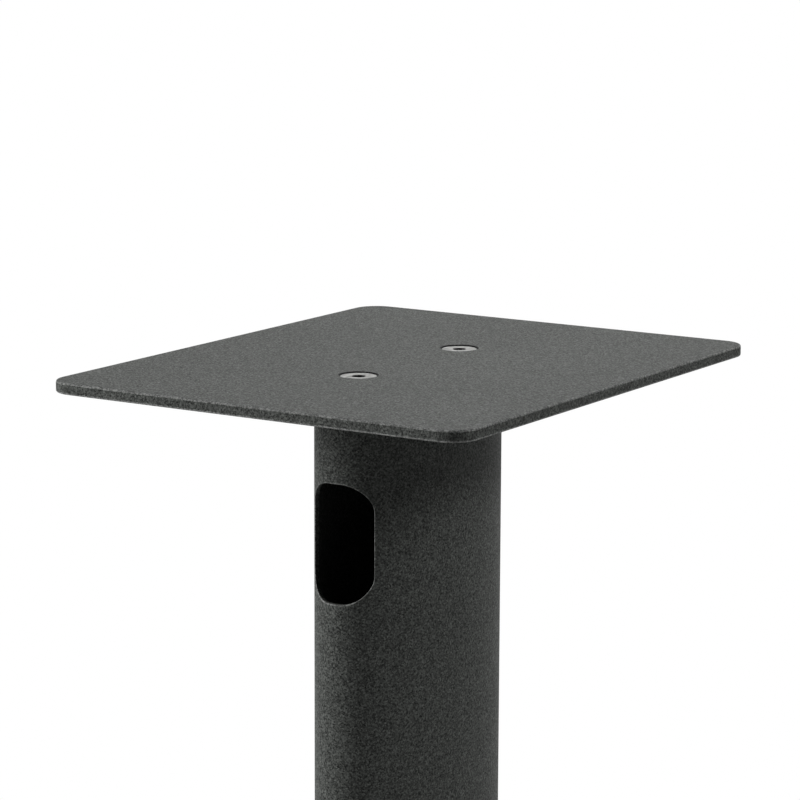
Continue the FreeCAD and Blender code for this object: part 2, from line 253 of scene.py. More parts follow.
@dataclass(frozen=True)
class PowderCoat:
    """Fine-textured powder coat, baked on steel: pebbled, with paler flecks, rims made paler for
    wear and a painted sheen, and painted shade in hole slopes.
    """

    low: Colour = (0.0015, 0.0016, 0.0015)
    high: Colour = (0.124, 0.131, 0.123)
    # Paler colour of marked rims: partly wear, partly a painted sheen.
    wear_and_sheen: Colour = (0.22, 0.224, 0.218)
    # Near-black painted shade for the slopes of holes.
    hole_shade: Colour = (0.002, 0.002, 0.002)
    fleck: float = 0.64 * MM
    fleck_power: float = 2.0
    grain: float = 0.90 * MM
    grain_range: Point = (0.41, 0.61)
    drift: float = 70 * MM
    drift_range: Point = (0.93, 1.07)
    wear_and_sheen_range: Point = (0.25, 0.65)
    thinnest_wear_and_sheen: float = 0.25
    relief: float = 0.07 * MM
    fine_relief: float = 0.03 * MM
    roughness: Point = (0.66, 0.48)
    specular: float = 0.05

    def material(self) -> Material:
        """Writes the coat.

        Returns:
            The material.
        """
        surface = Surface(Slot.COAT.value)
        fleck = surface.flecks(self.fleck)
        grain = surface.noise(self.grain, detail=5.0, roughness=0.85)
        drift = surface.noise(self.drift)
        lumps = surface.spread(grain, self.grain_range)
        bright = surface.math("POWER", fleck, self.fleck_power)
        mask = surface.math("ADD", surface.math("MULTIPLY", bright, 0.5),
                            surface.math("MULTIPLY", lumps, 0.5))
        slow = surface.math("MULTIPLY", mask, surface.spread(drift, MID_NOISE, self.drift_range))
        body = surface.tint(slow, self.low, self.high)
        # Marked rims are tinted paler, partly as wear and partly as a painted sheen.
        edge = surface.add("ShaderNodeAttribute", {"attribute_name": EDGE}).outputs["Fac"]
        wear_and_sheen_mask = surface.math("MULTIPLY", surface.spread(edge, (0.0, 1.0)),
                           surface.spread(mask, self.wear_and_sheen_range, (self.thinnest_wear_and_sheen, 1.0)))
        # Hole slopes, marked -1, are tinted near black as painted shade.
        hole_shade_mask = surface.spread(edge, (0.0, -1.0))
        shaded = surface.tint(hole_shade_mask, surface.tint(wear_and_sheen_mask, body, self.wear_and_sheen), self.hole_shade)
        surface.drive("Base Color", shaded)
        surface.drive("Roughness", surface.spread(mask, (0.0, 1.0), self.roughness))
        surface.fix(Specular_IOR_Level=self.specular)
        surface.emboss((surface.cells(self.fleck * 1.5), -self.relief), (grain, self.fine_relief))
        return surface.material


@dataclass(frozen=True)
class ZincPlate:
    """Bright zinc on turned steel, with rings left by turning about one axis, and painted shade
    down its socket and under its head's rim.
    """

    name: str
    axis: Point
    socket_face: float
    faces: Side = Side.UP
    socket_reach: float = 3.0 * MM
    gap_reach: float = 1.0
    low: Colour = (0.22, 0.22, 0.216)
    high: Colour = (0.42, 0.42, 0.413)
    grazing: Colour = (0.30, 0.30, 0.295)
    # Near black in the socket and under the head's rim: painted shade.
    sunk_shade: Colour = (0.004, 0.004, 0.004)
    speck: Colour = (0.06, 0.06, 0.058)
    speck_size: float = 0.35 * MM
    speck_range: Point = (0.66, 0.74)
    cloud: float = 1.6 * MM
    cloud_range: Point = (0.35, 0.65)
    sunk_range: Point = (0.02 * MM, 0.10 * MM)
    roughness: Point = (0.30, 0.46)
    ring: float = 0.22 * MM
    relief: float = 0.004 * MM
    cloud_relief: float = 0.006 * MM

    def material(self) -> Material:
        """Writes the plating.

        Returns:
            The material.
        """
        surface = Surface(self.name)
        centred = surface.add("ShaderNodeMapping", {}, {
            "Vector": surface.place, "Location": (-self.axis[0], -self.axis[1], 0.0)})
        flat = surface.vector("MULTIPLY", centred.outputs["Vector"], (1.0, 1.0, 0.0))
        reach = surface.vector("LENGTH", flat, output="Value")
        rings = surface.math("SINE", surface.math("MULTIPLY", reach, FULL_TURN / self.ring))
        cloud = surface.noise(self.cloud, detail=4.0, roughness=0.65)
        specks = surface.spread(surface.noise(self.speck_size, detail=1.0), self.speck_range)
        plate = surface.tint(surface.spread(cloud, self.cloud_range), self.low, self.high)
        specked = surface.tint(specks, plate, self.speck)
        # Painted shade: below the face, inside the socket and out under the head's rim, the plating
        # is tinted near black.
        height = surface.add("ShaderNodeSeparateXYZ", {}, {0: surface.place}).outputs["Z"]
        depth = surface.math("MULTIPLY", surface.math("SUBTRACT", self.socket_face, height),
                             float(self.faces.value))
        sunk = surface.spread(depth, self.sunk_range)
        shade_zone = surface.math("MAXIMUM", surface.math("LESS_THAN", reach, self.socket_reach),
                              surface.math("GREATER_THAN", reach, self.gap_reach))
        shade = surface.math("MULTIPLY", sunk, shade_zone)
        surface.drive("Base Color", surface.tint(shade, specked, self.sunk_shade))
        surface.drive("Roughness", surface.spread(cloud, self.cloud_range, self.roughness))
        surface.fix(Metallic=1.0)
        surface.shader.inputs["Specular Tint"].default_value = (*self.grazing, 1.0)
        surface.emboss((rings, self.relief), (cloud, self.cloud_relief))
        return surface.material


@dataclass(frozen=True)
class BareSteel:
    """Uncoated rolled steel, greyed by scale and a little oil."""

    name: str
    low: Colour = (0.10, 0.098, 0.095)
    high: Colour = (0.26, 0.255, 0.25)

    def material(self) -> Material:
        """Writes the steel.

        Returns:
            The material.
        """
        surface = Surface(self.name)
        scale = surface.noise(6 * MM, detail=6.0, roughness=0.65)
        grit = surface.noise(0.5 * MM, detail=2.0)
        surface.drive("Base Color", surface.tint(
            surface.spread(scale, (0.35, 0.65)), self.low, self.high))
        surface.drive("Roughness", surface.spread(scale, MID_NOISE, (0.62, 0.40)))
        surface.fix(Metallic=0.85)
        surface.emboss((scale, 0.02 * MM), (grit, 0.008 * MM))
        return surface.material


@dataclass(frozen=True)
class MouldedNylon:
    """Black moulded nylon, with the fine spark texture of its mould."""

    low: Colour = (0.012, 0.012, 0.013)
    high: Colour = (0.026, 0.026, 0.027)

    def material(self) -> Material:
        """Writes the nylon.

        Returns:
            The material.
        """
        surface = Surface(Slot.NYLON.value)
        spark = surface.noise(0.35 * MM, detail=3.0)
        flow = surface.noise(9 * MM, detail=2.0)
        surface.drive("Base Color", surface.tint(
            surface.spread(flow, MID_NOISE), self.low, self.high))
        surface.drive("Roughness", surface.spread(spark, MID_NOISE, (0.38, 0.52)))
        surface.fix(Specular_IOR_Level=0.45)
        surface.emboss((spark, 0.012 * MM))
        return surface.material


@dataclass(frozen=True)
class PadRubber:
    """Dull black rubber, chalky where it was dusted in its mould."""

    low: Colour = (0.016, 0.016, 0.016)
    high: Colour = (0.045, 0.045, 0.044)

    def material(self) -> Material:
        """Writes the rubber.

        Returns:
            The material.
        """
        surface = Surface(Slot.RUBBER.value)
        chalk = surface.noise(4 * MM, detail=5.0, roughness=0.7)
        pits = surface.cells(0.6 * MM)
        surface.drive("Base Color", surface.tint(
            surface.spread(chalk, (0.45, 0.75)), self.low, self.high))
        surface.drive("Roughness", surface.spread(chalk, MID_NOISE, (0.78, 0.92)))
        surface.fix(Specular_IOR_Level=0.3)
        surface.emboss((pits, 0.02 * MM))
        return surface.material


# Shape builders.


@dataclass(frozen=True)
class Ring:
    """One level of a turned shape, or of a hexagon cut by a cone."""

    radius: float
    height: float
    flats: float = 0.0
    bore: bool = False

    def reach(self, angle: float) -> float:
        """Gives the distance from the axis at an angle.

        Args:
            angle: The angle about the axis, in radians.

        Returns:
            The radius, kept inside the hexagon, or outside it in a bore.
        """
        if not self.flats:
            return self.radius
        sixth = FULL_TURN / 6
        hexagon = self.flats / 2 / math.cos(angle % sixth - sixth / 2)
        return max(self.radius, hexagon) if self.bore else min(self.radius, hexagon)


@dataclass(frozen=True)
class RoundedRectangle:
    """A rectangle with round corners, seen from above."""

    width: float
    length: float
    corner: float
    corner_steps: int = 18

    def points(self, inset: float = 0.0) -> list[Point]:
        """Walks once round the outline.

        Args:
            inset: How far inside the outline to walk.

        Returns:
            The points, always as many.
        """
        sides = ((1, 1), (-1, 1), (-1, -1), (1, -1))
        middle_x, middle_y = self.width / 2 - self.corner, self.length / 2 - self.corner
        radius = self.corner - inset
        found = []
        for quarter, (side_x, side_y) in enumerate(sides):
            for step in range(self.corner_steps + 1):
                angle = FULL_TURN / 4 * (quarter + step / self.corner_steps)
                found.append((side_x * middle_x + radius * math.cos(angle),
                              side_y * middle_y + radius * math.sin(angle)))
        return found


def skin_loops(loops: Sequence[Sequence[Vector]], closed: bool) -> Mesh:
    """Makes a closed skin through loops of equally many points.

    Args:
        loops: The loops, in order.
        closed: Whether the last loop joins the first, or both ends get a face.

    Returns:
        The mesh, with its faces outwards.
    """
    shape = bmesh.new()
    rows = [[shape.verts.new(point) for point in loop] for loop in loops]
    for lower, upper in zip(rows, rows[1:] + (rows[:1] if closed else [])):
        count = len(lower)
        for here in range(count):
            there = (here + 1) % count
            shape.faces.new((lower[here], lower[there], upper[there], upper[here]))
    if not closed:
        shape.faces.new(rows[0])
        shape.faces.new(rows[-1])
    bmesh.ops.remove_doubles(shape, verts=shape.verts, dist=1e-7)
    bmesh.ops.dissolve_degenerate(shape, edges=shape.edges, dist=1e-8)
    bmesh.ops.recalc_face_normals(shape, faces=shape.faces)
    mesh = bpy.data.meshes.new("skin")
    shape.to_mesh(mesh)
    shape.free()
    return mesh


def turn_rings(rings: Sequence[Ring], axis: Point, segments: int,
               closed: bool = False) -> Mesh:
    """Makes a turned shape.

    Args:
        rings: Its levels, from one end of its outline to the other.
        axis: Where its upright axis stands.
        segments: How many steps go round it.
        closed: Whether the outline is closed, as that of a nut or washer is.

    Returns:
        The mesh.
    """
    angles = [FULL_TURN * step / segments for step in range(segments)]
    loops = []
    for ring in rings:
        loops.append([
            Vector((axis[0] + ring.reach(angle) * math.cos(angle),
                    axis[1] + ring.reach(angle) * math.sin(angle), ring.height))
            for angle in angles])
    return skin_loops(loops, closed)


def quarter_round(radius: float, steps: int) -> list[Point]:
    """Gives the inset and rise of each point of a quarter round, foot to top."""
    angles = [FULL_TURN / 4 * step / steps for step in range(steps + 1)]
    return [(radius * (1 - math.cos(angle)), radius * math.sin(angle)) for angle in angles]


def add_piece(mesh: Mesh, name: str, material: Material, body: str,
              slot: Slot, *nodes: str, crease: float = 32.0) -> Object:
    """Makes a finished piece of a mesh and puts it on its body.

    Args:
        mesh: The mesh, already in place.
        name: The piece's name.
        material: Its material.
        body: The body that it moves with.
        slot: The material slot of its finish; not used.
        nodes: The solids that it stands for.
        crease: Edges that turn more than this many degrees stay sharp.

    Returns:
        The piece.
    """
    mesh.name = name
    mesh.materials.clear()
    mesh.materials.append(material)
    for face in mesh.polygons:
        face.material_index = 0
    mesh.shade_smooth()
    mesh.set_sharp_from_angle(angle=math.radians(crease))
    piece = bpy.data.objects.new(name, mesh)
    bpy.context.scene.collection.objects.link(piece)
    weigh = piece.modifiers.new("Weigh normals", "WEIGHTED_NORMAL")
    weigh.keep_sharp = True
    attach(piece, body)
    if nodes:
        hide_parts(*nodes)
    LOG.info("%s on %s, %d faces", name, body, len(mesh.polygons))
    return piece


# Geometry trees.


class GeometryTree(Graph):
    """A geometry node tree with named inputs that is run once to a plain mesh."""

    def __init__(self, name: str) -> None:
        """Starts a tree.

        Args:
            name: The tree's name.
        """
        super().__init__(bpy.data.node_groups.new(name, "GeometryNodeTree"))
        for way in ("INPUT", "OUTPUT"):
            self.tree.interface.new_socket("Geometry", in_out=way, socket_type="NodeSocketGeometry")
        self.entry = self.add("NodeGroupInput")
        self.exit = self.add("NodeGroupOutput")
        self.values: dict[str, Any] = {}

    def take(self, name: str, kind: str, value: Any) -> NodeSocket:
        """Adds a named input.

        Args:
            name: The input's name.
            kind: The socket's type, such as Float or Object.
            value: The value for this run.

        Returns:
            The socket inside the tree.
        """
        socket = self.tree.interface.new_socket(
            name, in_out="INPUT", socket_type=f"NodeSocket{kind}")
        self.values[socket.identifier] = value
        return self.entry.outputs[name]

    def node(self, kind: str, inputs: dict[str, Any], **settings: Any) -> NodeSocket:
        """Adds a geometry node by its short name and gives its first output."""
        return self.add(f"GeometryNode{kind}", settings, inputs).outputs[0]

    def copy_of(self, name: str, thing: Object) -> NodeSocket:
        """Takes an object as a named input and gives its geometry."""
        info = self.add("GeometryNodeObjectInfo", {}, {"Object": self.take(name, "Object", thing)})
        return info.outputs["Geometry"]

    def ellipse(self, half_sizes: Point, steps: Any) -> NodeSocket:
        """Draws an ellipse round the origin, its half sizes being a named input.

        Args:
            half_sizes: Half its width and half its length.
            steps: How many points it has, or the socket that says so.

        Returns:
            The curve.
        """
        sizes = self.take("Half sizes", "Vector", (*half_sizes, 1.0))
        circle = self.node("CurvePrimitiveCircle", {"Resolution": steps, "Radius": 1.0})
        return self.node("Transform", {"Geometry": circle, "Scale": sizes})

    def end(self, geometry: NodeSocket, material: Material) -> None:
        """Ends the tree in real geometry with a material.

        Args:
            geometry: What the tree has made.
            material: Its material.
        """
        real = self.node("RealizeInstances", {"Geometry": geometry})
        finish = self.take("Finish", "Material", material)
        coated = self.node("SetMaterial", {"Geometry": real, "Material": finish})
        self.tree.links.new(coated, self.exit.inputs["Geometry"])

    def run(self, start: Mesh | None = None) -> Mesh:
        """Runs the tree once.

        Args:
            start: The mesh that it starts from, if any.

        Returns:
            The plain mesh that it gives.
        """
        carrier = bpy.data.objects.new("carrier", start or bpy.data.meshes.new("empty"))
        bpy.context.scene.collection.objects.link(carrier)
        modifier = carrier.modifiers.new("Shape", "NODES")
        modifier.node_group = self.tree
        for identifier, value in self.values.items():
            modifier[identifier] = value
        evaluated = carrier.evaluated_get(bpy.context.evaluated_depsgraph_get())
        mesh = bpy.data.meshes.new_from_object(evaluated)
        carrier.modifiers.remove(modifier)
        bpy.data.objects.remove(carrier)
        return mesh


def cut_holes(blank: Mesh, drill: Mesh, places: Sequence[Point],
              material: Material) -> Mesh:
    """Cuts the same hole at several places, by geometry nodes.

    Args:
        blank: The mesh to cut.
        drill: The closed shape that a hole takes away, made about x = y = 0.
        places: Where the holes go.
        material: The material of the result.

    Returns:
        The cut mesh.
    """
    shape = GeometryTree("cut_holes")
    tool = bpy.data.objects.new("drill", drill)
    marks = bpy.data.meshes.new("marks")
    marks.from_pydata([(x, y, 0.0) for x, y in places], [], [])
    pattern = bpy.data.objects.new("pattern", marks)
    drill_shape = shape.copy_of("Drill", tool)
    points = shape.node("MeshToPoints", {"Mesh": shape.copy_of("Places", pattern)})
    drills = shape.node("InstanceOnPoints", {"Points": points, "Instance": drill_shape})
    real = shape.node("RealizeInstances", {"Geometry": drills})
    cut = shape.node("MeshBoolean", {"Mesh 1": shape.entry.outputs["Geometry"], "Mesh 2": real},
                     **EXACT_CUT)
    merged = shape.node("MergeByDistance", {"Geometry": cut, "Distance": SLIVER})
    shape.end(merged, material)
    mesh = shape.run(blank)
    bpy.data.objects.remove(tool)
    bpy.data.objects.remove(pattern)
    return mesh


@dataclass(frozen=True)
class Thread:
    """A right-hand helical thread, cut by geometry nodes into a turned blank."""

    outside: float = 3.95 * MM
    depth: float = 0.62 * MM
    pitch: float = 1.25 * MM
    rows_per_pitch: int = 8
    margin: float = 0.1 * MM

    def levels(self, bottom: float, top: float) -> list[Ring]:
        """Gives the blank's rings along the thread.

        Args:
            bottom: Where the thread starts.
            top: Where it ends.

        Returns:
            The rings, from bottom to top.
        """
        count = max(2, round((top - bottom) / self.pitch * self.rows_per_pitch))
        return [Ring(self.outside, bottom + (top - bottom) * row / count)
                for row in range(count + 1)]

    def cut(self, blank: Mesh, axis: Point, span: Point,
            material: Material) -> Mesh:
        """Pulls the blank's skin in along the helix.

        Args:
            blank: The turned blank.
            axis: Where its axis stands.
            span: The lowest and highest height of the thread.
            material: The material of the result.

        Returns:
            The threaded mesh.
        """
        shape = GeometryTree("cut_thread")
        centre = shape.take("Axis", "Vector", (*axis, 0.0))
        pitch = shape.take("Pitch", "Float", self.pitch)
        depth = shape.take("Depth", "Float", self.depth)
        bottom = shape.take("Bottom", "Float", span[0])
        top = shape.take("Top", "Float", span[1])
        root = shape.take("Root", "Float", self.outside - self.depth / 2)
        limit = shape.take("Outside", "Float", self.outside + self.depth / 10)
        here = shape.vector("SUBTRACT", shape.add("GeometryNodeInputPosition").outputs[0], centre)
        parts = shape.add("ShaderNodeSeparateXYZ", {}, {0: here})
        turn = shape.math("DIVIDE", shape.math("ARCTAN2", parts.outputs["Y"], parts.outputs["X"]),
                          FULL_TURN)
        phase = shape.math("FRACT", shape.math(
            "SUBTRACT", shape.math("DIVIDE", parts.outputs["Z"], pitch), turn))
        groove = shape.math("MULTIPLY", shape.math(
            "ABSOLUTE", shape.math("SUBTRACT", phase, 0.5)), 2.0)
        flat = shape.vector("MULTIPLY", here, (1.0, 1.0, 0.0))
        reach = shape.vector("LENGTH", flat, output="Value")
        gates = [shape.math("GREATER_THAN", parts.outputs["Z"], bottom),
                 shape.math("LESS_THAN", parts.outputs["Z"], top),
                 shape.math("GREATER_THAN", reach, root),
                 shape.math("LESS_THAN", reach, limit)]
        pull = shape.math("MULTIPLY", groove, depth)
        for gate in gates:
            pull = shape.math("MULTIPLY", pull, gate)
        scale = shape.add("ShaderNodeVectorMath", {"operation": "SCALE"}, {
            0: shape.vector("NORMALIZE", flat), "Scale": shape.math("MULTIPLY", pull, -1.0)})
        moved = shape.node("SetPosition", {
            "Geometry": shape.entry.outputs["Geometry"], "Offset": scale.outputs[0]})
        shape.end(moved, material)
        return shape.run(blank)


# Plates.


@dataclass(frozen=True)
class Drill:
    """The shape that a screw hole takes out of a plate."""

    radius: float
    mouth: float
    soften: float = 0.25 * MM
    spare: float = 1.0 * MM

    def mesh(self, face: float, far: float, both: bool = False,
             segments: int = 96) -> Mesh:
        """Makes the drill, with its mouth's edge a little broken.

        Args:
            face: The height of the face that it opens in.
            far: The height of the other face.
            both: Whether the other face has the same mouth.
            segments: How many steps go round it.

        Returns:
            The closed mesh.
        """
        way = 1 if face > far else -1
        drop = 0.1 * MM
        lip = self.soften + drop
        mouth = [
            (self.mouth + self.soften + lip, -drop),
            (self.mouth - drop, drop),
            (self.radius, self.mouth - self.radius),
        ]
        rings = [Ring(mouth[0][0], face + way * self.spare)]
        rings += [Ring(radius, face - way * depth) for radius, depth in mouth]
        if both:
            rings += [Ring(radius, far + way * depth) for radius, depth in reversed(mouth)]
            rings.append(Ring(mouth[0][0], far - way * self.spare))
        else:
            rings.append(Ring(self.radius, far - way * self.spare))
        return turn_rings(rings, (0.0, 0.0), segments)


@dataclass(frozen=True)
class Plate:
    """A flat steel plate with round corners and softened edges."""

    name: str
    outline: RoundedRectangle
    edge: float = 0.8 * MM
    edge_steps: int = 5

    def blank(self) -> Mesh:
        """Makes the plate without its holes, where its solid is.

        Returns:
            The mesh.
        """
        low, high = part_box(self.name)
        curve = quarter_round(self.edge, self.edge_steps)
        levels = [(inset, low.z + self.edge - rise) for inset, rise in reversed(curve)]
        levels += [(inset, high.z - self.edge + rise) for inset, rise in curve]
        loops = [[Vector((x, y, height)) for x, y in self.outline.points(inset)]
                 for inset, height in levels]
        return skin_loops(loops, closed=False)


@dataclass(frozen=True)
class Plates:
    """The top plate, and the base plate with its tapped holes for the feet."""

    top: Plate = Plate("top_plate", RoundedRectangle(204 * MM, 250 * MM, 12 * MM))
    base: Plate = Plate("base_plate", RoundedRectangle(250 * MM, 300 * MM, 15 * MM))
    screw_places: tuple[Point, ...] = ((0.0, SCREW_REACH), (0.0, -SCREW_REACH))
    foot_places: tuple[Point, ...] = tuple(
        (side_x * FOOT_REACH[0], side_y * FOOT_REACH[1])
        for side_x in (-1, 1) for side_y in (-1, 1))
    countersink: Drill = Drill(4.5 * MM, 8.5 * MM)
    tapping: Drill = Drill(4.0 * MM, 4.6 * MM)
    hole_reach: float = 12 * MM
    sloping: Point = (0.05, 0.98)

    def build(self, coat: Material) -> list[Object]:
        """Makes both plates.

        Args:
            coat: Their powder coat.

        Returns:
            The two pieces.
        """
        low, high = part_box(self.top.name)
        drill = self.countersink.mesh(face=high.z, far=low.z)
        top = cut_holes(self.top.blank(), drill, self.screw_places, coat)
        low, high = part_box(self.base.name)
        drill = self.countersink.mesh(face=low.z, far=high.z)
        base = cut_holes(self.base.blank(), drill, self.screw_places, coat)
        drill = self.tapping.mesh(face=high.z, far=low.z, both=True, segments=48)
        base = cut_holes(base, drill, self.foot_places, coat)
        pieces = []
        for mesh, name, holes in ((top, self.top.name, self.screw_places),
                                  (base, self.base.name, self.screw_places + self.foot_places)):
            self.mark_edges(mesh, holes)
            pieces.append(add_piece(mesh, f"{name}_coated", coat, "stand", Slot.COAT, name))
        return pieces

    def mark_edges(self, mesh: Mesh, holes: Sequence[Point]) -> None:
        """Marks the rounded rim of a plate with 1 and the slopes of its holes with -1, for a paler
        rim (wear and painted sheen) and painted shade in the holes.

        Args:
            mesh: The plate.
            holes: Where its holes are.
        """
        marks = mesh.attributes.new(EDGE, "FLOAT", "FACE")
        for face in mesh.polygons:
            if self.sloping[0] < abs(face.normal.z) < self.sloping[1]:
                clear = all(math.dist(face.center[:2], place) > self.hole_reach
                            for place in holes)
                marks.data[face.index].value = 1.0 if clear else -1.0


# Column.


@dataclass(frozen=True)
class CableSlot:
    """A tall slot with round corners through the narrow rear of the column."""

    centre: float
    width: float = 30 * MM
    height: float = 52 * MM
    corner: float = 12.5 * MM
    edge: float = 0.5 * MM
    edge_steps: int = 6
    spare: float = 10 * MM

    def cutter(self, half_width: float, half_length: float) -> Mesh:
        """Makes the shape that the slot takes out, with its outer edge rounded.

        Args:
            half_width: Half the column's width.
            half_length: Half the column's length.

        Returns:
            The closed mesh.
        """
        outline = RoundedRectangle(self.width, self.height, self.corner, 16)
        points = self.fill_sides(outline.points())
        loops: list[list[Vector]] = [[] for _ in range(self.edge_steps + 4)]
        for here, (x, z) in enumerate(points):
            behind, ahead = points[here - 1], points[(here + 1) % len(points)]
            along = Vector((ahead[0] - behind[0], ahead[1] - behind[1])).normalized()
            outwards = Vector((along.y, -along.x))
            share = x / half_width
            rear = -half_length * math.sqrt(1 - share * share)
            slope = -rear * share / half_width / (1 - share * share) * outwards.x
            column = [Vector((x + outwards.x * reach, rear + rise,
                              self.centre + z + outwards.y * reach))
                      for reach, rise in self.edge_profile(slope)]
            column.insert(0, Vector((column[0].x, -half_length - self.spare, column[0].z)))
            column.append(Vector((x, -half_length / 2, self.centre + z)))
            for loop, point in zip(loops, column):
                loop.append(point)
        return skin_loops(loops, closed=False)

    def edge_profile(self, slope: float) -> list[Point]:
        """Rounds the corner between the column's skin and the slot's wall.

        Args:
            slope: How much the skin falls back for each step away from the slot.

        Returns:
            Pairs of reach away from the slot and depth, from outside the skin inwards.
        """
        start = math.atan2(-slope, -1.0) % FULL_TURN
        end = FULL_TURN / 4
        skin = Vector((1.0, slope)).normalized() * self.edge
        turn = (end - start) / self.edge_steps
        angles = [start + turn * (step + 0.5) for step in range(self.edge_steps)]
        steps = [Vector((math.cos(angle), math.sin(angle))) for angle in angles]
        total = sum(steps, Vector((0.0, 0.0)))
        chord = Vector((0.0, self.edge)) - skin
        size = chord.length / total.length
        points = [skin - steps[0] * size, skin]
        for step in steps:
            points.append(points[-1] + step * size)
        return [(point.x, point.y) for point in points]

    @staticmethod
    def fill_sides(points: Sequence[Point], longest: float = 1.5 * MM) -> list[Point]:
        """Divides the long sides of an outline.

        Args:
            points: The outline.
            longest: No side of the result is longer.

        Returns:
            The outline with more points.
        """
        filled = []
        for here, (x, y) in enumerate(points):
            next_x, next_y = points[(here + 1) % len(points)]
            count = max(1, math.ceil(math.hypot(next_x - x, next_y - y) / longest))
            filled += [(x + (next_x - x) * step / count, y + (next_y - y) * step / count)
                       for step in range(count)]
        return filled


@dataclass(frozen=True)
class Column:
    """The elliptical tube with its two cable slots."""

    half_width: float = 30 * MM
    half_length: float = 60 * MM
    wall: float = 2 * MM
    segments: int = 480
    slots: tuple[CableSlot, ...] = (CableSlot(550 * MM), CableSlot(97 * MM))
    lip_normals: Point = (-0.2, 0.999)
    flush: float = 0.995
    rearwards: float = -0.05

    def build(self, coat: Material) -> Object:
        """Sweeps the wall round the ellipse and cuts the slots, by geometry nodes.

        Args:
            coat: Its powder coat.

        Returns:
            The piece.
        """
        low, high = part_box("column_tube")
        shape = GeometryTree("sweep_column")
        wall = shape.take("Wall", "Float", self.wall)
        bottom = shape.take("Bottom", "Float", low.z)
        height = shape.take("Height", "Float", high.z - low.z)
        steps = shape.take("Segments", "Int", self.segments)
        ellipse = shape.ellipse((self.half_width, self.half_length), steps)
        level = shape.add("ShaderNodeCombineXYZ", {}, {"Z": bottom})
        path = shape.node("SetPosition", {"Geometry": ellipse, "Offset": level.outputs[0]})
        upright = shape.node("SetCurveNormal", {"Curve": path}, mode="Z_UP")
        section = shape.node("CurvePrimitiveQuadrilateral", {"Width": wall, "Height": height})
        middle = shape.add("ShaderNodeCombineXYZ", {}, {
            "X": shape.math("MULTIPLY", wall, -0.5), "Y": shape.math("MULTIPLY", height, -0.5)})
        profile = shape.node("SetPosition", {"Geometry": section, "Offset": middle.outputs[0]})
        body = shape.node("CurveToMesh", {"Curve": upright, "Profile Curve": profile})
        cutters = []
        for number, slot in enumerate(self.slots, start=1):
            mesh = slot.cutter(self.half_width, self.half_length)
            cutters.append(bpy.data.objects.new(f"slot_cutter_{number}", mesh))
            tool = shape.copy_of(f"Slot {number}", cutters[-1])
            body = shape.node("MeshBoolean", {"Mesh 1": body, "Mesh 2": tool}, **EXACT_CUT)
        merged = shape.node("MergeByDistance", {"Geometry": body, "Distance": SLIVER})
        shape.end(merged, coat)
        mesh = shape.run()
        for cutter in cutters:
            bpy.data.objects.remove(cutter)
        self.mark_edges(mesh)
        return add_piece(mesh, "column_tube_coated", coat, "stand", Slot.COAT, "column_tube")

    def mark_edges(self, mesh: Mesh) -> None:
        """Marks the sides and lower lip of each slot, made paler in the coat: partly wear where a
        lead has worn it, partly a painted sheen.

        Args:
            mesh: The column.
        """
        marks = mesh.attributes.new(EDGE, "FLOAT", "FACE")
        deepest = self.slots[0].edge + 10 * SLIVER
        lowest, highest = self.lip_normals
        for face in mesh.polygons:
            share = face.center.x / self.half_width
            rear = -self.half_length * math.sqrt(max(0.0, 1 - share * share))
            skin = Vector((share / self.half_width, rear / self.half_length ** 2, 0.0)).normalized()
            near = face.center.y < rear + deepest and lowest < face.normal.z < highest
            rounded = face.normal.dot(skin) < self.flush and face.normal.y < self.rearwards
            marks.data[face.index].value = 1.0 if near and rounded else 0.0


@dataclass(frozen=True)
class WeldBeads:
    """A bead of overlapping drops round each insert, inside the column."""

    half_width: float = 27.2 * MM
    half_length: float = 57.2 * MM
    spacing: float = 1.7 * MM
    drop: float = 1.5 * MM
    path_steps: int = 128
    turns: tuple[Size, Size] = ((-0.4, -0.4, -3.0), (0.4, 0.4, 3.0))
    swells: tuple[Size, Size] = ((0.85, 0.85, 0.6), (1.1, 1.1, 0.85))
    seed: int = 7

    def build(self, steel: Material) -> Object:
        """Strings drops along both welds, by geometry nodes.

        Args:
            steel: The welds' finish.

        Returns:
            The piece.
        """
        heights = (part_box("base_insert")[1].z + 0.5 * MM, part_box("top_insert")[0].z - 0.5 * MM)
        shape = GeometryTree("string_welds")
        spacing = shape.take("Spacing", "Float", self.spacing)
        size = shape.take("Drop", "Float", self.drop)
        seed = shape.take("Seed", "Int", self.seed)
        ellipse = shape.ellipse((self.half_width, self.half_length), self.path_steps)
        even = shape.node("ResampleCurve", {"Curve": ellipse, "Length": spacing}, mode="LENGTH")
        blob = shape.node("MeshIcoSphere", {"Radius": size, "Subdivisions": 2})
        turn, swell = [
            shape.add("FunctionNodeRandomValue", {"data_type": "FLOAT_VECTOR"}, {
                "Min": lowest, "Max": highest, "Seed": seed}).outputs["Value"]
            for lowest, highest in (self.turns, self.swells)]
        drops = shape.node("InstanceOnPoints", {
            "Points": even, "Instance": blob, "Rotation": turn, "Scale": swell})
        join = shape.add("GeometryNodeJoinGeometry")
        for height in heights:
            raised = shape.node("Transform", {
                "Geometry": drops, "Translation": (0.0, 0.0, height)})
            shape.tree.links.new(raised, join.inputs["Geometry"])
        shape.end(join.outputs["Geometry"], steel)
        return add_piece(shape.run(), "insert_weld_beads", steel, "stand", Slot.STEEL, crease=80.0)


# Screws.


